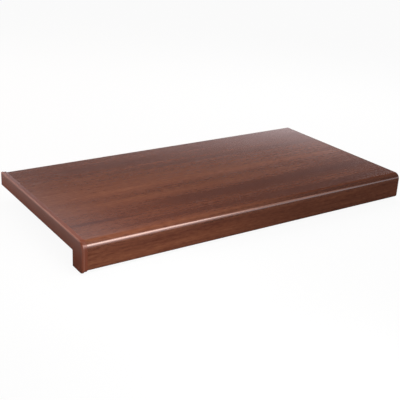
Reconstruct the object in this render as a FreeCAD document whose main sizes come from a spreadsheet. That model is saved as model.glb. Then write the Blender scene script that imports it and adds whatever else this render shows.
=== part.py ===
import FreeCAD, Part
import os
import Sketcher

# Window sill board: a hollow extruded plastic board with a drop nose along its front,
# and a moulded end cap on its left end. Millimetres, +X along the board from the
# capped end to the cut end, +Y from the nose to the window, +Z up. The origin is the
# middle of the ground under the level board.
#
# Both sections are drawn in a plane across the board, whose zero is the inside corner
# of the nose: across is 0 at the nose's back face and up is 0 at the underside.

document = FreeCAD.newDocument("window_sill_board")

sizes = {
    # The board's outside
    "sill_length": 600.0,
    "sill_depth": 300.0,
    "board_thickness": 20.0,
    "nose_height": 43.0,
    "nose_depth": 28.0,
    "nose_top_radius": 10.0,
    "nose_bottom_radius": 5.0,
    "edge_radius": 1.0,
    "inside_corner_radius": 1.5,
    # Its walls and chambers
    "outer_wall": 2.2,
    "rib_thickness": 1.5,
    "chamber_count": 12.0,
    "chamber_radius": 0.8,
    # The cap's plate, its rim that stands proud of the board, and the lip behind the rim
    "cap_plate": 3.4,
    "cap_reach": 8.8,
    "cap_fit": 0.15,
    "rim_top": 2.2,
    "rim_front": 2.1,
    "rim_bottom": 2.3,
    "rim_radius": 2.2,
    "lip_thickness": 1.1,
    "lip_radius": 0.5,
    "cap_back_radius": 0.5,
    # The tongues that plug the cap into some of the chambers, each a pair of thin blades
    "tongue_length": 14.0,
    "tongue_thickness": 1.6,
    "tongue_fit": 0.3,
    "tongue_count": 4.0,
    "tongue_skip_count": 1.0,
}

sheet = document.addObject("Spreadsheet::Sheet", "sizes")
for row, (alias, value) in enumerate(sizes.items(), start=1):
    sheet.set(f"A{row}", alias)
    sheet.set(f"B{row}", str(value))
    sheet.setAlias(f"B{row}", alias)
document.recompute()


def bound(expression):
    # The expression as another object writes it, with each alias read from the sheet
    words = expression.replace("(", "( ").replace(")", " )").split(" ")
    return " ".join(f"sizes.{word}" if word in sizes else word for word in words)


def value_of(expression):
    return float(sheet.evalExpression(expression))


def origin_feature(body, role):
    return next(feature for feature in body.Origin.OriginFeatures if feature.Role == role)


def section_sketch(body, name):
    # A sketch across the board: its x is the part's Y and its y is the part's Z
    sketch = body.newObject("Sketcher::SketchObject", name)
    sketch.AttachmentSupport = [(origin_feature(body, "YZ_Plane"), "")]
    sketch.MapMode = "FlatFace"
    return sketch


# A sketch numbers its level axis -1 and its upright axis -2, and its origin is the
# level axis's start. A curve's start is numbered 1 and its end 2.
sketch_origin = (-1, 1)


def sketch_axis(kind):
    return -2 if kind == "across" else -1


def start_of(curve):
    return (curve, 1)


def end_of(curve):
    return (curve, 2)


def draw_outline(sketch, walls):
    # Draws a closed outline of level and upright walls. Each wall is "across" at a
    # distance across the board or "up" at a height, with the radius of the corner
    # where it ends, or "" for a sharp one.
    places = [value_of(place) for kind, place, radius in walls]
    radii = [value_of(radius) if radius else 0.0 for kind, place, radius in walls]
    count = len(walls)

    def corner(index):
        # Where a wall meets the next one
        after = (index + 1) % count
        if walls[index][0] == "across":
            return FreeCAD.Vector(places[index], places[after], 0)
        return FreeCAD.Vector(places[after], places[index], 0)

    def toward(start, end):
        return (end - start).normalize()

    lines = []
    arcs = {}
    for index in range(count):
        before = corner(index - 1)
        here = corner(index)
        along = toward(before, here)
        first = before + along * radii[index - 1]
        last = here - along * radii[index]
        lines.append(sketch.addGeometry(Part.LineSegment(first, last), False))
    for index in range(count):
        if not radii[index]:
            continue
        here = corner(index)
        along = toward(corner(index - 1), here)
        onward = toward(here, corner((index + 1) % count))
        centre = here - along * radii[index] + onward * radii[index]
        middle = centre + (along - onward).normalize() * radii[index]
        curve = Part.Arc(here - along * radii[index], middle, here + onward * radii[index])
        arcs[index] = sketch.addGeometry(curve, False)

    for index, (kind, place, radius) in enumerate(walls):
        line = lines[index]
        following = lines[(index + 1) % count]
        sketch.addConstraint(Sketcher.Constraint("Vertical" if kind == "across" else "Horizontal", line))
        if index in arcs:
            arc = arcs[index]
            # A sketch's arc always turns one way, so it may start on either of its walls
            line_end = sketch.getPoint(*end_of(line))
            to_start = sketch.getPoint(*start_of(arc)).distanceToPoint(line_end)
            to_end = sketch.getPoint(*end_of(arc)).distanceToPoint(line_end)
            here, onward = start_of(arc), end_of(arc)
            if to_end < to_start:
                here, onward = onward, here
            sketch.addConstraint(Sketcher.Constraint("Tangent", *end_of(line), *here))
            sketch.addConstraint(Sketcher.Constraint("Tangent", *onward, *start_of(following)))
            number = sketch.addConstraint(Sketcher.Constraint("Radius", arc, radii[index]))
            sketch.setExpression(f"Constraints[{number}]", bound(radius))
        else:
            sketch.addConstraint(Sketcher.Constraint("Coincident", *end_of(line), *start_of(following)))

        distance = "DistanceX" if kind == "across" else "DistanceY"
        wall_point = start_of(line)
        if places[index] == 0:
            sketch.addConstraint(Sketcher.Constraint("PointOnObject", *wall_point, sketch_axis(kind)))
        elif places[index] > 0:
            number = sketch.addConstraint(
                Sketcher.Constraint(distance, *sketch_origin, *wall_point, places[index]))
            sketch.setExpression(f"Constraints[{number}]", bound(place))
        else:
            number = sketch.addConstraint(
                Sketcher.Constraint(distance, *wall_point, *sketch_origin, -places[index]))
            sketch.setExpression(f"Constraints[{number}]", bound(f"-( {place} )"))


def add_pad(body, name, sketch, length):
    pad = body.newObject("PartDesign::Pad", name)
    pad.Profile = sketch
    pad.setExpression("Length", bound(length))
    document.recompute()
    return pad


def add_pocket(body, name, sketch, length):
    # The sketch looks along +X, so the pocket is turned round to cut along the board
    pocket = body.newObject("PartDesign::Pocket", name)
    pocket.Profile = sketch
    pocket.Reversed = True
    pocket.setExpression("Length", bound(length))
    document.recompute()
    return pocket


def add_fillet(body, name, base, edges, radius):
    fillet = body.newObject("PartDesign::Fillet", name)
    fillet.Base = (base, edges)
    fillet.setExpression("Radius", bound(radius))
    document.recompute()
    return fillet


def new_body(label):
    body = document.addObject("PartDesign::Body", label)
    body.Label = label
    return body


def place(body, along):
    # The zero of the sections, in the part's frame
    body.setExpression(".Placement.Base.x", bound(along))
    body.setExpression(
        ".Placement.Base.y", bound("( 2 * nose_depth + rim_front - sill_depth ) / 2"))
    body.setExpression(
        ".Placement.Base.z", bound("nose_height - board_thickness + rim_bottom"))


def silhouette(proud_top, proud_front, proud_bottom, corner):
    # The L that the board and its cap share. The cap stands proud of the board at the
    # top, the front and the nose's bottom, and is flush behind the nose and below.
    return [
        ("up", f"board_thickness + {proud_top}", f"nose_top_radius + {proud_front}"),
        ("across", f"-( nose_depth + {proud_front} )", f"nose_bottom_radius + {proud_front}"),
        ("up", f"-( nose_height - board_thickness + {proud_bottom} )", corner),
        ("across", "0", "inside_corner_radius"),
        ("up", "0", corner),
        ("across", "sill_depth - nose_depth", corner),
    ]


# The chambers lie in a row from the web over the nose's back face to the back wall
chamber_pitch = "( sill_depth - nose_depth - outer_wall + rib_thickness ) / chamber_count"
chamber_width = f"{chamber_pitch} - rib_thickness"
# Chambers from one tongue to the next, as many left empty behind the last as in front
tongue_step = "floor( ( chamber_count - 1 - 2 * tongue_skip_count ) / ( tongue_count - 1 ) )"


def make_board():
    body = new_body("sill_board")
    length = "sill_length - cap_plate"

    profile = section_sketch(body, "profile")
    draw_outline(profile, silhouette("0", "0", "0", "edge_radius"))
    add_pad(body, "extrusion", profile, length)

    # Over the nose the top chamber follows the rounded front, and the board's lower
    # wall runs on to the front as a web above the drop chamber
    nose_top = section_sketch(body, "nose_top_chamber")
    draw_outline(nose_top, [
        ("up", "board_thickness - outer_wall", "nose_top_radius - outer_wall"),
        ("across", "-( nose_depth - outer_wall )", "chamber_radius"),
        ("up", "outer_wall", "chamber_radius"),
        ("across", "-( outer_wall )", "chamber_radius"),
    ])
    add_pocket(body, "nose_top_hollow", nose_top, length)

    nose_drop = section_sketch(body, "nose_drop_chamber")
    draw_outline(nose_drop, [
        ("up", "-( inside_corner_radius )", "chamber_radius"),
        ("across", "-( nose_depth - outer_wall )", "nose_bottom_radius - outer_wall"),
        ("up", "-( nose_height - board_thickness - outer_wall )", "chamber_radius"),
        ("across", "-( outer_wall )", "chamber_radius"),
    ])
    add_pocket(body, "nose_drop_hollow", nose_drop, length)

    first = section_sketch(body, "first_chamber")
    draw_outline(first, [
        ("up", "board_thickness - outer_wall", "chamber_radius"),
        ("across", "0", "chamber_radius"),
        ("up", "outer_wall", "chamber_radius"),
        ("across", chamber_width, "chamber_radius"),
    ])
    hollow = add_pocket(body, "first_hollow", first, length)

    row = body.newObject("PartDesign::LinearPattern", "chamber_row")
    row.Originals = [hollow]
    row.Direction = (first, ["H_Axis"])
    row.setExpression("Length", bound(f"{chamber_pitch} * ( chamber_count - 1 )"))
    row.setExpression("Occurrences", bound("chamber_count"))
    body.Tip = row
    place(body, "cap_plate - sill_length / 2")
    document.recompute()
    return body


plane_tolerance = 1e-5


def edges_at(shape, along, wanted):
    # The names of the edges that lie in one plane across the board
    names = []
    for number, edge in enumerate(shape.Edges, start=1):
        box = edge.BoundBox
        flat = abs(box.XMin - along) < plane_tolerance and abs(box.XMax - along) < plane_tolerance
        if flat and wanted(edge):
            names.append(f"Edge{number}")
    return names


def on_walls(heights, distances, radii):
    # A test for the edges at these heights, at these distances across, or with these radii
    heights, distances, radii = (
        [value_of(place) for place in places] for places in (heights, distances, radii))

    def near(number, others):
        return any(abs(number - other) < plane_tolerance for other in others)

    def wanted(edge):
        if edge.Curve.TypeId == "Part::GeomCircle":
            return near(edge.Curve.Radius, radii)
        box = edge.BoundBox
        is_level = near(box.ZMin, [box.ZMax]) and near(box.ZMin, heights)
        is_upright = near(box.YMin, [box.YMax]) and near(box.YMin, distances)
        return is_level or is_upright

    return wanted


def make_cap():
    body = new_body("end_cap")

    # The flat plate over the board's end, with the rim that stands proud round the nose
    outline = section_sketch(body, "rim_outline")
    draw_outline(outline, silhouette("rim_top", "rim_front", "rim_bottom", ""))
    add_pad(body, "plate", outline, "cap_plate")

    # The thinner lip behind the rim, which wraps the top, the front and the nose's bottom
    lip = section_sketch(body, "lip_outline")
    draw_outline(lip, [
        ("up", "board_thickness + cap_fit + lip_thickness", "nose_top_radius + cap_fit + lip_thickness"),
        ("across", "-( nose_depth + cap_fit + lip_thickness )",
         "nose_bottom_radius + cap_fit + lip_thickness"),
        ("up", "-( nose_height - board_thickness + cap_fit + lip_thickness )", ""),
        ("across", "0", ""),
        ("up", "-( nose_height - board_thickness + cap_fit )", "nose_bottom_radius + cap_fit"),
        ("across", "-( nose_depth + cap_fit )", "nose_top_radius + cap_fit"),
        ("up", "board_thickness + cap_fit", ""),
        ("across", "sill_depth - nose_depth", ""),
    ])
    wrapped = add_pad(body, "lip", lip, "cap_reach")

    # The lip's edge over the board and the rim's outer edge are rounded, and the plate's
    # edges behind and below just softened
    stands = "cap_fit + lip_thickness"
    lip_outside = on_walls(
        [f"board_thickness + {stands}", f"-( nose_height - board_thickness + {stands} )"],
        [f"-( nose_depth + {stands} )"],
        [f"nose_top_radius + {stands}", f"nose_bottom_radius + {stands}"])
    rim_outside = on_walls(
        ["board_thickness + rim_top", "-( nose_height - board_thickness + rim_bottom )"],
        ["-( nose_depth + rim_front )"],
        ["nose_top_radius + rim_front", "nose_bottom_radius + rim_front"])
    plate_back = on_walls(["0"], ["0", "sill_depth - nose_depth"], ["inside_corner_radius"])
    lip_edge = edges_at(wrapped.Shape, value_of("cap_reach"), lip_outside)
    softened = add_fillet(body, "lip_edge", wrapped, lip_edge, "lip_radius")
    rim_edge = edges_at(softened.Shape, 0.0, rim_outside)
    rounded = add_fillet(body, "rim_edge", softened, rim_edge, "rim_radius")
    back_edge = edges_at(rounded.Shape, 0.0, plate_back)
    add_fillet(body, "back_edge", rounded, back_edge, "cap_back_radius")

    # Each tongue is a blade under the chamber's upper wall and one over its lower wall
    blades = section_sketch(body, "blade_outlines")
    first_chamber = f"{chamber_pitch} * tongue_skip_count"
    upper = "board_thickness - outer_wall - tongue_fit"
    lower = "outer_wall + tongue_fit"
    for high, low in ((upper, f"{upper} - tongue_thickness"), (f"{lower} + tongue_thickness", lower)):
        draw_outline(blades, [
            ("up", high, ""),
            ("across", f"{first_chamber} + chamber_radius + tongue_fit", ""),
            ("up", low, ""),
            ("across", f"{first_chamber} + {chamber_width} - chamber_radius - tongue_fit", ""),
        ])
    tongue = add_pad(body, "tongue", blades, "cap_plate + tongue_length")
    row = body.newObject("PartDesign::LinearPattern", "tongue_row")
    row.Originals = [tongue]
    row.Direction = (blades, ["H_Axis"])
    row.setExpression("Length", bound(f"{chamber_pitch} * {tongue_step} * ( tongue_count - 1 )"))
    row.setExpression("Occurrences", bound("tongue_count"))
    body.Tip = row
    place(body, "-( sill_length / 2 )")
    document.recompute()
    return body


bodies = [make_board(), make_cap()]
document.recompute()

for item in document.Objects:
    if "Invalid" in item.State or "Error" in item.State:
        raise RuntimeError(f"{item.Name} failed: {item.State}")
for body in bodies:
    if body.Shape.isNull() or not body.Shape.isValid():
        raise RuntimeError(f"{body.Label} has no valid shape")

os.makedirs("parts", exist_ok=True)
for body in bodies:
    body.Shape.exportStep(f"parts/{body.Label}.step")
    box = body.Shape.BoundBox
    print(body.Label, "solids", len(body.Shape.Solids), "volume", round(body.Shape.Volume, 1),
          "box", [round(v, 2) for v in (box.XMin, box.YMin, box.ZMin, box.XMax, box.YMax, box.ZMax)])
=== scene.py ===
import math
import bpy
from mathutils import Matrix, Vector

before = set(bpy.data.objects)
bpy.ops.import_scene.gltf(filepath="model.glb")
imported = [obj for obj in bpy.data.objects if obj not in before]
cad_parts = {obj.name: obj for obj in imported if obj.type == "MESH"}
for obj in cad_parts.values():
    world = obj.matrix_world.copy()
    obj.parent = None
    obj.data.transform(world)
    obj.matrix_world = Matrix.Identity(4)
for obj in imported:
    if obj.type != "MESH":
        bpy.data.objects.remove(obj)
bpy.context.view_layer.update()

print("frame loaded:", sorted(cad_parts))

# The camera stands before the capped end and looks down along the board
camera = {
    "place": (-0.687195, -0.976031, 0.483926),
    "turned": 33.727,         # degrees from straight across the board toward its cut end
    "lookingDown": 21.812,
    "rolled": 2.606,
    "lens": 68.62,
    "sensor": 36.0,
    "shift": (0.0300, -0.01377),
}


def addCamera(look):
    turned, down, rolled = (math.radians(look[name])
                            for name in ("turned", "lookingDown", "rolled"))
    forward = Vector((math.sin(turned) * math.cos(down),
                      math.cos(turned) * math.cos(down), -math.sin(down)))
    level = Vector((math.cos(turned), -math.sin(turned), 0))
    above = level.cross(forward)
    right = level * math.cos(rolled) + above * math.sin(rolled)
    upward = right.cross(forward)
    data = bpy.data.cameras.new("camera")
    data.lens = look["lens"]
    data.sensor_width = look["sensor"]
    data.shift_x, data.shift_y = look["shift"]
    camObject = bpy.data.objects.new("camera", data)
    turn = Matrix((right, upward, -forward)).transposed()
    camObject.matrix_world = Matrix.Translation(look["place"]) @ turn.to_4x4()
    bpy.context.scene.collection.objects.link(camObject)
    bpy.context.scene.camera = camObject


addCamera(camera)
print("camera placed")


# Small helpers for the node trees
def put(tree, kind, inputs=None, **settings):
    node = tree.nodes.new("ShaderNode" + kind)
    for name, value in settings.items():
        setattr(node, name, value)
    for name, value in (inputs or {}).items():
        if isinstance(value, bpy.types.NodeSocket):
            tree.links.new(value, node.inputs[name])
        else:
            node.inputs[name].default_value = value
    return node


def calc(tree, operation, first, second=0.0, third=0.0):
    inputs = {0: first, 1: second, 2: third}
    return put(tree, "Math", inputs, operation=operation).outputs[0]


def product(tree, first, *others):
    for other in others:
        first = calc(tree, "MULTIPLY", first, other)
    return first


def scaled(tree, value, factor, added):
    return calc(tree, "MULTIPLY_ADD", value, factor, added)


def less(tree, first, second):
    return calc(tree, "SUBTRACT", first, second)


def fade(tree, value, start, end, low=0.0, high=1.0):
    # a smooth step from low at start to high at end
    return put(tree, "MapRange", {"Value": value, "From Min": start, "From Max": end,
                                  "To Min": low, "To Max": high},
               interpolation_type="SMOOTHSTEP").outputs["Result"]


def blend(tree, share, first, second, blendType="MIX"):
    # the colour mix, whose sockets 6 and 7 are its two colours
    return put(tree, "Mix", {0: share, 6: first, 7: second},
               data_type="RGBA", blend_type=blendType).outputs[2]


def blendValue(tree, share, first, second):
    return put(tree, "Mix", {0: share, 2: first, 3: second}).outputs[0]


def noise(tree, point, scale, detail, roughness=0.5, distortion=0.0):
    return put(tree, "TexNoise", {"Vector": point, "Scale": scale, "Detail": detail,
                                  "Roughness": roughness,
                                  "Distortion": distortion}).outputs["Fac"]


def stretched(tree, point, scale):
    return put(tree, "VectorMath", {0: point, 1: scale}, operation="MULTIPLY").outputs[0]


def split(tree, point):
    return put(tree, "SeparateXYZ", {0: point}).outputs


def newMaterial(name):
    material = bpy.data.materials.new(name)
    material.use_nodes = True
    return material, material.node_tree, material.node_tree.nodes["Principled BSDF"]


# The floor and the world are white to the camera. A sheen sees a bright band low behind
# the board, a haze over it, and a darker room above.
studio = {
    "floorReach": 9.0,
    "floorColour": (0.80, 0.80, 0.80, 1),
    "floorRoughness": 0.9,
    "floorSheen": 0.2,
    "floorShadow": 0.06,      # how much of the floor's white a shadow can take away
    "floorWhite": 0.93,
    # the floor in a sheen is dark beside the board and bright to the left of it
    "mirrored": (0.05, 1.20),
    "mirroredEdge": (-0.31, -0.40),
    "ambient": 0.45,
    "backdrop": 1.0,
    # the room in a sheen, whose edges lie in the x, y or z of a unit direction
    "band": 2.8,
    "bandTop": (0.312, 0.325),
    "bandFoot": (0.15, 0.25),
    "bandRight": (0.76, 0.86),
    "before": 0.20,           # the band on the camera's side
    "behind": (-0.1, 0.3),    # from the camera's side to the far side
    "tilt": 0.066,            # the band stands lower to the right
    "haze": 0.85,
    "hazeEdge": (0.265, 0.372),
    "room": 0.06,
    "ceiling": 0.575,         # a brighter part, high up and to the left behind the board
    "ceilingLean": 2.24,
    "ceilingEdge": (-0.547, -0.474),
    "ceilingBehind": (0.3, 0.6),
    "ceilingTop": (0.44, 0.52),
    "leftShare": 0.25,        # the room's left side is dimmer
    "leftEdge": (-0.10, 0.27),
    "sheenColour": (1.0, 0.93, 0.99, 1),
}


def seenDirectly(tree):
    # 1 for rays from the camera, also through clear things, and 1 for rays in a sheen
    path = put(tree, "LightPath").outputs
    seen = calc(tree, "MAXIMUM", path["Is Camera Ray"], path["Is Transmission Ray"])
    return seen, path["Is Glossy Ray"]


def addFloor(look):
    bpy.ops.object.select_all(action="DESELECT")
    bpy.ops.mesh.primitive_plane_add(size=look["floorReach"] * 2, location=(0, 0, 0))
    floor = bpy.context.object
    floor.name = "floor"
    material, tree, matte = newMaterial("paleFloor")
    matte.inputs["Base Color"].default_value = look["floorColour"]
    matte.inputs["Roughness"].default_value = look["floorRoughness"]
    matte.inputs["Specular IOR Level"].default_value = look["floorSheen"]
    glow = put(tree, "Emission", {"Strength": look["floorWhite"]})
    shade = put(tree, "BsdfDiffuse", {"Color": (*[look["floorShadow"]] * 3, 1)})
    white = put(tree, "AddShader", {0: glow.outputs[0], 1: shade.outputs[0]})
    sideways = split(tree, put(tree, "TexCoord").outputs["Object"])["X"]
    level = fade(tree, sideways, *look["mirroredEdge"], *look["mirrored"])
    sheen = put(tree, "Emission", {"Strength": level})
    seen, glossy = seenDirectly(tree)
    unseen = put(tree, "MixShader", {"Fac": glossy, 1: matte.outputs[0], 2: sheen.outputs[0]})
    both = put(tree, "MixShader", {"Fac": seen, 1: unseen.outputs[0], 2: white.outputs[0]})
    tree.links.new(both.outputs[0], tree.nodes["Material Output"].inputs["Surface"])
    floor.data.materials.append(material)


def addWorld(look):
    world = bpy.data.worlds.new("studio")
    world.use_nodes = True
    tree = world.node_tree
    apart = split(tree, put(tree, "TexCoord").outputs["Generated"])
    height = scaled(tree, apart["X"], look["tilt"], apart["Z"])
    band = product(tree, fade(tree, apart["Y"], *look["behind"], look["before"], look["band"]),
                   fade(tree, height, *look["bandTop"], 1.0, 0.0),
                   fade(tree, apart["Z"], *look["bandFoot"]),
                   fade(tree, apart["X"], *look["bandRight"], 1.0, 0.0))
    haze = fade(tree, height, *look["hazeEdge"], look["haze"], look["room"])
    leaning = scaled(tree, apart["Z"], -look["ceilingLean"], apart["X"])
    ceiling = product(tree, fade(tree, leaning, *look["ceilingEdge"], look["ceiling"], 0.0),
                      fade(tree, apart["Y"], *look["ceilingBehind"]),
                      fade(tree, apart["Z"], *look["ceilingTop"], 1.0, 0.0))
    reflected = calc(tree, "ADD", calc(tree, "MAXIMUM", band, haze), ceiling)
    reflected = product(tree, reflected,
                        fade(tree, apart["X"], *look["leftEdge"], look["leftShare"], 1.0))
    seen, glossy = seenDirectly(tree)
    unseen = blendValue(tree, glossy, look["ambient"], reflected)
    strength = blendValue(tree, seen, unseen, look["backdrop"])
    colour = blend(tree, glossy, (1, 1, 1, 1), look["sheenColour"])
    background = tree.nodes["Background"]
    tree.links.new(colour, background.inputs["Color"])
    tree.links.new(strength, background.inputs["Strength"])
    bpy.context.scene.world = world


addFloor(studio)
addWorld(studio)

# Softboxes: place and aim in metres, size across and up, power in watts, and the roll and
# the spread of the beam in degrees. Some light only the matt colour and some only the sheen.
noseAim = (-0.15, -0.14, 0.04)
rimAim = (-0.30, 0.0, 0.045)
lamps = {
    "noseLight": {"place": (0.48, -1.34, 0.85), "aim": noseAim, "size": (0.60, 0.90),
                  "rolled": 15, "power": 0.46, "spread": 40,
                  "colour": (1.0, 0.77, 0.71), "matt": False},
    "noseFade": {"place": (1.02, -1.34, 0.85), "aim": noseAim, "size": (0.50, 0.90),
                 "rolled": 15, "power": 0.070, "spread": 40,
                 "colour": (1.0, 0.60, 0.50), "matt": False},
    "leftLight": {"place": (-0.23, -0.19, 0.24), "aim": (-0.23, -0.10, 0.04),
                  "size": (0.12, 0.12), "power": 0.42, "sheen": False},
    "frontLight": {"place": (-0.24, -0.60, 0.14), "aim": (-0.20, -0.15, 0.03),
                   "size": (0.3, 0.2), "power": 0.92, "sheen": False},
    "sideLight": {"place": (-0.50, 0.42, 0.032), "aim": (-0.3, 0.10, 0.032),
                  "size": (0.2, 0.05), "power": 0.75, "sheen": False},
    "overLight": {"place": (0.65, 0.50, 0.85), "aim": (0.0, 0.0, 0.045),
                  "size": (0.6, 0.6), "power": 6.2, "sheen": False},
    "rimLight": {"place": (-0.54, 1.28, 0.82), "aim": rimAim, "size": (0.50, 0.30),
                 "power": 0.100, "spread": 30, "colour": (1.0, 0.66, 0.56), "matt": False},
    "rimFill": {"place": (-0.54, 1.28, 0.82), "aim": rimAim, "size": (0.50, 0.30),
                "power": 6.5, "colour": (1.0, 0.66, 0.56), "sheen": False},
}


def addLamp(name, look):
    data = bpy.data.lights.new(name, "AREA")
    data.shape = "RECTANGLE"
    data.size, data.size_y = look["size"]
    data.energy = look["power"]
    data.color = look.get("colour", (1, 1, 1))
    data.spread = math.radians(look.get("spread", 180))
    lamp = bpy.data.objects.new(name, data)
    toward = Vector(look["aim"]) - Vector(look["place"])
    turn = toward.to_track_quat("-Z", "Y").to_matrix().to_4x4()
    roll = Matrix.Rotation(math.radians(look.get("rolled", 0)), 4, "Z")
    lamp.matrix_world = Matrix.Translation(look["place"]) @ turn @ roll
    lamp.visible_camera = False
    lamp.visible_glossy = look.get("sheen", True)
    lamp.visible_diffuse = look.get("matt", True)
    bpy.context.scene.collection.objects.link(lamp)


for lampName, lampLook in lamps.items():
    addLamp(lampName, lampLook)
print("studio lit")


# Effects that the board and the cap share
def newGroup(name, inputs, outputs):
    # every input is a number, apart from the point
    group = bpy.data.node_groups.new(name, "ShaderNodeTree")
    for label, value in inputs.items():
        kind = "NodeSocketVector" if label == "Point" else "NodeSocketFloat"
        socket = group.interface.new_socket(name=label, in_out="INPUT", socket_type=kind)
        socket.default_value = value
    for label in outputs:
        group.interface.new_socket(name=label, in_out="OUTPUT", socket_type="NodeSocketFloat")
    given = group.nodes.new("NodeGroupInput").outputs
    return group, given, group.nodes.new("NodeGroupOutput").inputs


def useGroup(tree, group, point, values):
    return put(tree, "Group", {"Point": point, **values}, node_tree=group).outputs


def speckleGroup():
    # a fine even grain of pressed or moulded plastic, and slow patches of shade in it
    group, given, made = newGroup(
        "plasticSpeckle", {"Point": (0, 0, 0), "Fine Scale": 2600.0, "Patch Scale": 14.0},
        ("Grain", "Patches"))
    fine = noise(group, given["Point"], given["Fine Scale"], 2.0, 0.6)
    patches = noise(group, given["Point"], given["Patch Scale"], 3.0, 0.55)
    group.links.new(fine, made["Grain"])
    group.links.new(fade(group, patches, 0.3, 0.7), made["Patches"])
    return group


def rubbedGroup():
    # hairline scuffs in patches, and a little settled dust
    group, given, made = newGroup(
        "rubbedFinish", {"Point": (0, 0, 0), "Scuff Scale": 60.0, "Dust Scale": 900.0},
        ("Scuffs", "Dust"))
    point = given["Point"]
    turned = put(group, "Mapping", {"Vector": point, "Rotation": (0.3, 0.2, 0.55),
                                    "Scale": (0.25, 6.0, 6.0)}).outputs[0]
    hair = fade(group, noise(group, turned, given["Scuff Scale"], 2.0, 0.4, 0.6), 0.69, 0.75)
    patch = fade(group, noise(group, point, 18.0, 2.0), 0.48, 0.66)
    group.links.new(product(group, hair, patch), made["Scuffs"])
    motes = put(group, "TexVoronoi", {"Vector": point, "Scale": given["Dust Scale"]}).outputs
    mote = fade(group, motes["Distance"], 0.10, 0.04)
    chance = put(group, "SeparateColor", {0: motes["Color"]}).outputs[0]
    group.links.new(product(group, mote, fade(group, chance, 0.90, 0.93)), made["Dust"])
    return group


def edgeWearAndHighlightGroup():
    # a mask along sharp edges, broken up by a fine noise: wear on the board, and on the cap
    # wear and painted highlight
    group, given, made = newGroup(
        "edgeWearAndHighlightMask", {"Point": (0, 0, 0), "Reach": 0.0008, "Break Up": 350.0}, ("WearAndHighlight",))
    rounded = put(group, "Bevel", {"Radius": given["Reach"]}, samples=6).outputs[0]
    plain = put(group, "NewGeometry").outputs["Normal"]
    facing = put(group, "VectorMath", {0: rounded, 1: plain},
                 operation="DOT_PRODUCT").outputs["Value"]
    broken = noise(group, given["Point"], given["Break Up"], 3.0)
    edgeWearAndHighlight = product(group, fade(group, facing, 0.985, 0.86),
                   fade(group, broken, 0.30, 0.62, 0.45, 1.0))
    group.links.new(edgeWearAndHighlight, made["WearAndHighlight"])
    return group


def polishedGroup():
    # the nose's rounded bend, which hands and cloths have polished
    group, given, made = newGroup(
        "polishedBend", {"Point": (0, 0, 0), "Crown": 0.0452, "Foot": 0.031, "Inner": -0.1405},
        ("Polish",))
    apart = split(group, given["Point"])
    below = fade(group, less(group, given["Crown"], apart["Z"]), 0.0, 0.0012)
    above = fade(group, less(group, apart["Z"], given["Foot"]), 0.0, 0.005)
    before = fade(group, less(group, given["Inner"], apart["Y"]), 0.0, 0.0025)
    group.links.new(product(group, below, above, before), made["Polish"])
    return group


speckle = speckleGroup()
rubbed = rubbedGroup()
wearAndHighlight = edgeWearAndHighlightGroup()
polished = polishedGroup()
dustColour = (0.42, 0.38, 0.34, 1)

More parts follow.
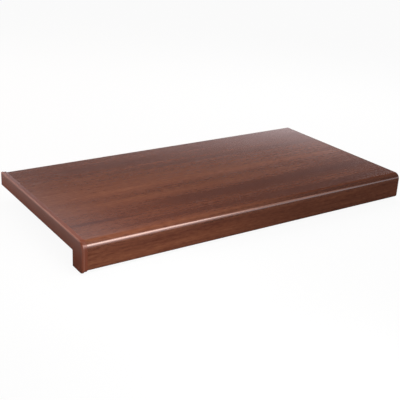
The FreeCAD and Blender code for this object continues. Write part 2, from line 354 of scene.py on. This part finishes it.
# The board: a brown hollow plastic profile with a mahogany film pressed over its top and
# nose. Lengths are in metres in the part's own frame. The film's grain lies along x, and
# its pattern goes over the nose by the sum of y and z.
board = {
    "noseFront": -0.14895,
    "noseBack": -0.12095,
    "top": 0.0453,
    "bottom": 0.0023,
    "topRadius": 0.010,
    "bottomRadius": 0.005,
    "cutEnd": 0.3,
    "filmDepth": 0.00025,
    "filmReturn": 0.0075,     # how far the film comes up behind the nose
    "light": (0.208, 0.0710, 0.0350, 1),
    "middle": (0.137, 0.0442, 0.0228, 1),
    "dark": (0.064, 0.0180, 0.0120, 1),
    "pore": (0.036, 0.012, 0.009, 1),
    "core": (0.046, 0.023, 0.015, 1),
    "sawn": (0.085, 0.050, 0.036, 1),
    # the grain, in turns per metre along it and across it
    "wanderScale": (3.0, 9.0),
    "wander": 0.016,          # how far it strays across, in metres
    "bandScale": (2.2, 60.0),
    "streakScale": (9.0, 420.0),
    "fleckScale": (85.0, 330.0),
    "poreScale": (120.0, 2300.0),
    "streakShade": 1.4,
    "fleckShade": 1.8,
    "shadeTint": (0.66, 0.86, 0.84),  # how far red, green and blue follow that shade
    "poreShare": 0.25,
    # the bare plastic
    "dieScale": 900.0,
    "dieShare": 0.35,
    "sawScale": 190.0,
    "sawShift": (0.0, 0.35, 0.10),    # its rings run about an axis before and below the board
    "patchShare": 0.15,
    # the shared effects, and the finish
    "speckleValues": {"Fine Scale": 2600.0, "Patch Scale": 14.0},
    "rubbedValues": {"Scuff Scale": 60.0, "Dust Scale": 900.0},
    "edgeValues": {"Reach": 0.0006, "Break Up": 500.0},
    "polishedValues": {"Crown": 0.0452, "Foot": 0.031, "Inner": -0.1405},
    "edgeShare": 0.35,
    "dustShare": 0.10,
    "filmRoughness": 0.115,
    "coreRoughness": 0.55,
    "streakRough": 0.10,
    "poreRough": 0.12,
    "scuffRough": 0.10,
    "grainRough": 0.15,
    "sheen": 0.62,
    "bumpStrength": 0.03,
    "bumpDistance": 0.00008,
    "polish": (0.95, 0.65),           # less of it toward the cut end
    "polishFade": (0.05, 0.30),
    "polishIor": 2.0,
    # each figure: place across at x = 0, slope, half width, where it starts and ends along
    # x, and how strongly it darkens (below 0) or lightens (above 0)
    "figures": (
        (0.056, 0.000, 0.052, -0.45, 0.50, 0.45),
        (-0.052, 0.000, 0.045, -0.45, 0.50, -0.28),
        (0.152, -0.010, 0.005, -0.26, 0.02, -0.55),
        (0.113, 0.000, 0.005, -0.18, 0.34, -0.50),
        (0.043, -0.008, 0.007, -0.25, 0.34, 0.55),
        (0.023, 0.000, 0.007, -0.31, 0.20, -0.30),
        (0.003, 0.012, 0.007, -0.24, 0.22, 0.45),
        (-0.029, 0.010, 0.013, -0.14, 0.34, -0.50),
        (-0.045, 0.000, 0.035, -0.12, 0.50, 0.20),
        (-0.046, -0.045, 0.003, -0.32, -0.20, 0.35),
        (-0.056, -0.025, 0.004, -0.31, -0.17, -0.80),
        (-0.054, 0.000, 0.009, 0.10, 0.34, 0.30),
        (-0.077, 0.000, 0.007, -0.26, 0.34, -0.35),
        # a painted highlight along the nose's upper bend, from the capped end to near the
        # middle
        (-0.099, 0.000, 0.006, -0.34, 0.10, 0.45),
        (-0.120, 0.000, 0.004, -0.28, 0.02, -0.40),
        (-0.135, 0.000, 0.003, -0.34, 0.00, 0.25),
        (-0.125, 0.045, 0.003, 0.10, 0.34, 0.35),
        # the nose front darker toward the cut end: the film's darker band there, and painted
        # shade where the light falls off
        (-0.128, 0.000, 0.022, -0.05, 0.34, -0.12),
    ),
}


def figureGroup():
    # one long figure, soft across and fading at its two ends: mostly of the grain, and in two
    # places painted light on the nose
    group, given, made = newGroup(
        "grainAndPaintedLightFigure",
        {"Along": 0.0, "Across": 0.0, "Place": 0.0, "Slope": 0.0, "Half Width": 0.01,
         "Start": -0.3, "End": 0.3, "Strength": 1.0}, ("Tone",))
    line = scaled(group, given["Along"], given["Slope"], given["Place"])
    away = calc(group, "DIVIDE", less(group, given["Across"], line), given["Half Width"])
    across = calc(group, "EXPONENT", product(group, away, away, -0.8))
    begun = fade(group, less(group, given["Along"], given["Start"]), -0.02, 0.08)
    ended = fade(group, less(group, given["End"], given["Along"]), -0.02, 0.12)
    group.links.new(product(group, begun, ended, across, given["Strength"]), made["Tone"])
    return group


def woodGrain(tree, look, point):
    # the film's colour, and its streaks and pores for the sheen and the relief
    apart = split(tree, point)
    along, acrossPlain = apart["X"], calc(tree, "ADD", apart["Y"], apart["Z"])

    # the grain wanders a little across the board on its way along it
    slowAlong, slowAcross = look["wanderScale"]
    slow = put(tree, "CombineXYZ", {0: product(tree, along, slowAlong),
                                    1: product(tree, acrossPlain, slowAcross)}).outputs[0]
    drift = scaled(tree, noise(tree, slow, 1.0, 2.0), look["wander"], -look["wander"] / 2)
    across = calc(tree, "ADD", acrossPlain, drift)
    sheet = put(tree, "CombineXYZ", {0: along, 1: across}).outputs[0]

    bands = noise(tree, stretched(tree, sheet, (*look["bandScale"], 1.0)), 1.0, 2.0, 0.6)
    streaks = noise(tree, stretched(tree, sheet, (*look["streakScale"], 1.0)), 1.0, 4.0, 0.65)
    flecks = noise(tree, stretched(tree, sheet, (*look["fleckScale"], 1.0)), 1.0, 3.0, 0.7)
    tone = less(tree, bands, 0.5)
    figure = figureGroup()
    labels = ("Place", "Slope", "Half Width", "Start", "End", "Strength")
    for values in look["figures"]:
        inputs = {"Along": along, "Across": across, **dict(zip(labels, values))}
        made = put(tree, "Group", inputs, node_tree=figure).outputs
        tone = calc(tree, "ADD", tone, made["Tone"])
    ramp = put(tree, "ValToRGB", {0: scaled(tree, tone, 0.5, 0.5)})
    ramp.color_ramp.elements[0].color = look["dark"]
    ramp.color_ramp.elements[1].color = look["light"]
    ramp.color_ramp.elements.new(0.5).color = look["middle"]

    # the streaks and flecks shade that colour
    shading = calc(tree, "ADD",
                   scaled(tree, streaks, look["streakShade"], -look["streakShade"] / 2),
                   scaled(tree, flecks, look["fleckShade"], -look["fleckShade"] / 2))
    shading = put(tree, "VectorMath", {0: shading, 1: look["shadeTint"], 2: (1, 1, 1)},
                  operation="MULTIPLY_ADD").outputs[0]
    wood = blend(tree, 1.0, ramp.outputs["Color"], shading, "MULTIPLY")

    # open pores: short dark dashes along the grain
    poreLie = stretched(tree, sheet, (*look["poreScale"], 1.0))
    cells = put(tree, "TexVoronoi", {"Vector": poreLie, "Scale": 1.0}).outputs["Distance"]
    pore = product(tree, fade(tree, cells, 0.26, 0.12), fade(tree, streaks, 0.70, 0.35))
    wood = blend(tree, product(tree, pore, look["poreShare"]), wood, look["pore"])
    return wood, streaks, pore


def filmPlace(tree, look, point):
    # 1 within the film's thickness of the outer face, and a little way up behind the nose
    apart = split(tree, point)
    thin, thick = look["filmDepth"] * 0.9, look["filmDepth"] * 1.1

    def depthBelow(radius, upGap):
        frontGap = less(tree, look["noseFront"] + radius, apart["Y"])
        gaps = put(tree, "CombineXYZ", {0: calc(tree, "MAXIMUM", frontGap),
                                        1: calc(tree, "MAXIMUM", upGap)}).outputs[0]
        reach = put(tree, "VectorMath", {0: gaps}, operation="LENGTH").outputs["Value"]
        return less(tree, radius, reach)

    crown = less(tree, apart["Z"], look["top"] - look["topRadius"])
    foot = less(tree, look["bottom"] + look["bottomRadius"], apart["Z"])
    depth = calc(tree, "MINIMUM", depthBelow(look["topRadius"], crown),
                 depthBelow(look["bottomRadius"], foot))
    outside = fade(tree, depth, thick, thin)
    behind = calc(tree, "ABSOLUTE", less(tree, apart["Y"], look["noseBack"]))
    returnTop = look["bottom"] + look["filmReturn"]
    lowDown = fade(tree, apart["Z"], returnTop + 0.0001, returnTop)
    return calc(tree, "MAXIMUM", outside,
                product(tree, fade(tree, behind, thick, thin), lowDown))


def makeBoardMaterial(look):
    material, tree, shader = newMaterial("mahoganyFilm")
    point = put(tree, "TexCoord").outputs["Object"]
    along = split(tree, point)["X"]
    wood, streaks, pore = woodGrain(tree, look, point)
    film = filmPlace(tree, look, point)
    grain = useGroup(tree, speckle, point, look["speckleValues"])
    scuffed = useGroup(tree, rubbed, point, look["rubbedValues"])

    # the bare profile: faint die lines along it, and saw marks on the cut end
    dieLie = stretched(tree, point, (3.0, look["dieScale"], look["dieScale"]))
    dieLines = noise(tree, dieLie, 1.0, 2.0)
    onCut = fade(tree, along, look["cutEnd"] - 0.0003, look["cutEnd"] - 0.0001)
    sawPoint = put(tree, "Mapping", {"Vector": point, "Location": look["sawShift"]}).outputs[0]
    sawMarks = put(tree, "TexWave", {"Vector": sawPoint, "Scale": look["sawScale"],
                                     "Distortion": 1.5, "Detail": 2.0, "Detail Scale": 3.0},
                   wave_type="RINGS", rings_direction="X").outputs["Fac"]
    dieShade = fade(tree, dieLines, 0.35, 0.75, 0.0, look["dieShare"])
    bare = blend(tree, dieShade, look["core"], look["sawn"])
    sawn = blend(tree, scaled(tree, sawMarks, 0.45, 0.15), look["core"], look["sawn"])
    bare = blend(tree, onCut, bare, sawn)
    bare = blend(tree, product(tree, grain["Patches"], look["patchShare"]), bare, look["sawn"])

    colour = blend(tree, film, bare, wood)
    edgeWearAndHighlight = useGroup(tree, wearAndHighlight, point, look["edgeValues"])["WearAndHighlight"]
    colour = blend(tree, product(tree, edgeWearAndHighlight, look["edgeShare"]), colour, look["sawn"])
    dust = product(tree, scuffed["Dust"], look["dustShare"])
    tree.links.new(blend(tree, dust, colour, dustColour), shader.inputs["Base Color"])

    rough = scaled(tree, streaks, look["streakRough"],
                   look["filmRoughness"] - look["streakRough"] / 2)
    rough = scaled(tree, pore, look["poreRough"], rough)
    rough = scaled(tree, scuffed["Scuffs"], look["scuffRough"], rough)
    bareRough = scaled(tree, grain["Grain"], look["grainRough"], look["coreRoughness"])
    tree.links.new(blendValue(tree, film, bareRough, rough), shader.inputs["Roughness"])

    height = scaled(tree, pore, -0.8, product(tree, streaks, 0.5))
    height = scaled(tree, grain["Grain"], 0.08, height)
    bareHeight = calc(tree, "ADD", product(tree, dieLines, 0.8), product(tree, sawMarks, onCut))
    bump = put(tree, "Bump", {"Height": blendValue(tree, film, bareHeight, height),
                              "Strength": look["bumpStrength"],
                              "Distance": look["bumpDistance"]})
    tree.links.new(bump.outputs[0], shader.inputs["Normal"])
    shader.inputs["Specular IOR Level"].default_value = look["sheen"]

    bend = useGroup(tree, polished, point, look["polishedValues"])["Polish"]
    polish = product(tree, bend, fade(tree, along, *look["polishFade"], *look["polish"]))
    tree.links.new(polish, shader.inputs["Coat Weight"])
    shader.inputs["Coat IOR"].default_value = look["polishIor"]
    shader.inputs["Coat Roughness"].default_value = look["filmRoughness"]
    return material


# The cap: brown moulded plastic with a finely eroded, satin face
cap = {
    "colour": (0.150, 0.0415, 0.0225, 1),
    "paler": (0.168, 0.0482, 0.0268, 1),
    # paler plastic for wear and scuffs, also the colour of the painted highlights on the rim
    # and edges
    "wearAndHighlight": (0.27, 0.115, 0.082, 1),
    "speckleValues": {"Fine Scale": 2600.0, "Patch Scale": 26.0},
    "rubbedValues": {"Scuff Scale": 60.0, "Dust Scale": 900.0},
    "edgeValues": {"Reach": 0.0008, "Break Up": 350.0},
    "polishedValues": {"Crown": 0.0472, "Foot": 0.031, "Inner": -0.1415},
    "patchShare": 0.5,
    "grainShade": 0.24,
    "edgeShare": 0.75,
    "scuffShare": 0.25,
    "dustShare": 0.12,
    # painted highlights: the rim's outer edge along the top, and a line down its front
    "rimEdge": (-0.2977, -0.2986),
    "rimTop": (0.0453, 0.0463),
    "rimHighlightShare": 0.70,
    "lineInner": (-0.2950, -0.2962),
    "lineOuter": (-0.2984, -0.2972),
    "rimFront": (-0.1489, -0.1504),
    "lineHighlightShare": 0.55,
    "roughness": 0.22,
    "grainRough": 0.12,
    "scuffRough": 0.08,
    "sheen": 0.35,
    "bumpStrength": 0.30,
    "bumpDistance": 0.00006,
    "polish": 0.52,
    "polishEdge": (-0.2984, -0.2974),
    "polishIor": 2.0,
}


def makeCapMaterial(look):
    material, tree, shader = newMaterial("capPlastic")
    point = put(tree, "TexCoord").outputs["Object"]
    apart = split(tree, point)
    grain = useGroup(tree, speckle, point, look["speckleValues"])
    scuffed = useGroup(tree, rubbed, point, look["rubbedValues"])
    plastic = blend(tree, product(tree, grain["Patches"], look["patchShare"]),
                    look["colour"], look["paler"])
    shade = scaled(tree, grain["Grain"], look["grainShade"], 1 - look["grainShade"] / 2)
    shade = put(tree, "CombineColor", {0: shade, 1: shade, 2: shade}).outputs[0]
    plastic = blend(tree, 1.0, plastic, shade, "MULTIPLY")

    # paler along sharp edges, both wear and painted highlight, then painted highlights along
    # the rim's top edge and down its front, and paler scuffs
    edgeWearAndHighlight = useGroup(tree, wearAndHighlight, point, look["edgeValues"])["WearAndHighlight"]
    plastic = blend(tree, product(tree, edgeWearAndHighlight, look["edgeShare"]), plastic, look["wearAndHighlight"])
    paintedRimHighlight = product(tree, fade(tree, apart["X"], *look["rimEdge"]),
                  fade(tree, apart["Z"], *look["rimTop"]))
    line = product(tree, fade(tree, apart["X"], *look["lineInner"]),
                   fade(tree, apart["X"], *look["lineOuter"]),
                   fade(tree, apart["Y"], *look["rimFront"]))
    paintedRimHighlight = calc(tree, "MAXIMUM", paintedRimHighlight, product(tree, line, look["lineHighlightShare"]))
    plastic = blend(tree, product(tree, paintedRimHighlight, look["rimHighlightShare"]), plastic, look["wearAndHighlight"])
    scuffs = product(tree, scuffed["Scuffs"], look["scuffShare"])
    plastic = blend(tree, scuffs, plastic, look["wearAndHighlight"])
    dust = product(tree, scuffed["Dust"], look["dustShare"])
    tree.links.new(blend(tree, dust, plastic, dustColour), shader.inputs["Base Color"])

    rough = scaled(tree, grain["Grain"], look["grainRough"],
                   look["roughness"] - look["grainRough"] / 2)
    rough = scaled(tree, scuffed["Scuffs"], look["scuffRough"], rough)
    tree.links.new(rough, shader.inputs["Roughness"])
    bump = put(tree, "Bump", {"Height": grain["Grain"], "Strength": look["bumpStrength"],
                              "Distance": look["bumpDistance"]})
    tree.links.new(bump.outputs[0], shader.inputs["Normal"])
    shader.inputs["Specular IOR Level"].default_value = look["sheen"]

    # polished at the nose's bend, short of its outer edge
    bend = useGroup(tree, polished, point, look["polishedValues"])["Polish"]
    polish = product(tree, bend, fade(tree, apart["X"], *look["polishEdge"]), look["polish"])
    tree.links.new(polish, shader.inputs["Coat Weight"])
    shader.inputs["Coat IOR"].default_value = look["polishIor"]
    shader.inputs["Coat Roughness"].default_value = look["roughness"]
    return material


finishes = {"sill_board": makeBoardMaterial(board), "end_cap": makeCapMaterial(cap)}
for nodeName, finish in finishes.items():
    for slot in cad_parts[nodeName].material_slots:
        slot.material = finish
print("materials assigned")

bpy.context.scene.view_settings.view_transform = "Standard"
